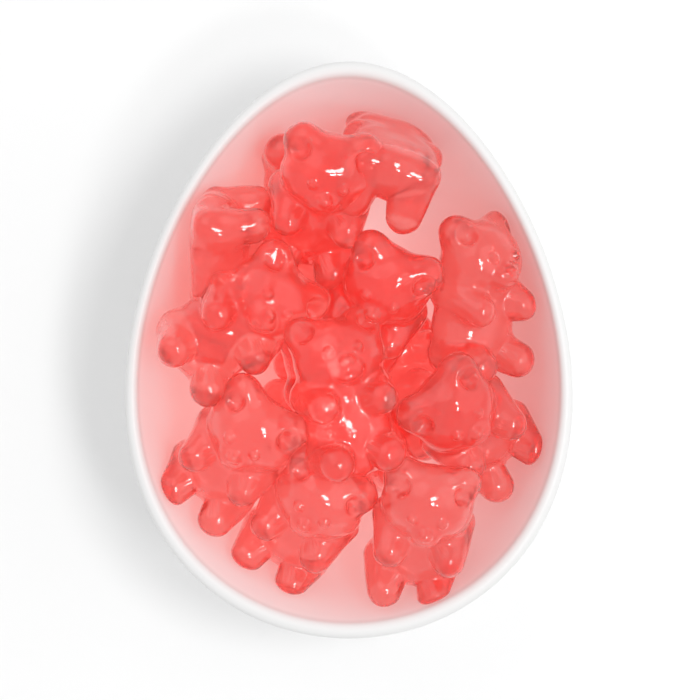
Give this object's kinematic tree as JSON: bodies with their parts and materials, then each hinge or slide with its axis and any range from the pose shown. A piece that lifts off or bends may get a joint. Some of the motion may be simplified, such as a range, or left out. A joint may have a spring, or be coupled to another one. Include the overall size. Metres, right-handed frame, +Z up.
{
  "type": "bowl of gummy bears",
  "caption": "Red gummy bears heaped in a small white porcelain dish with an egg-shaped outline, standing on a flat foot.",
  "frame": {"origin": "the middle of the dish's box, on the surface that the dish stands on", "axes": "+Z up; +Y along the dish towards its narrow end, which is the top of the picture; +X across it, to the right of the picture"},
  "size_m": [0.0582, 0.075, 0.0402],
  "materials": {
    "gummy": "clear red gel, glossy",
    "porcelain": "white, glazed"
  },
  "bodies": {
    "root": {"gummy_bears": "gummy", "egg_dish": "porcelain"}
  },
  "joints": []
}
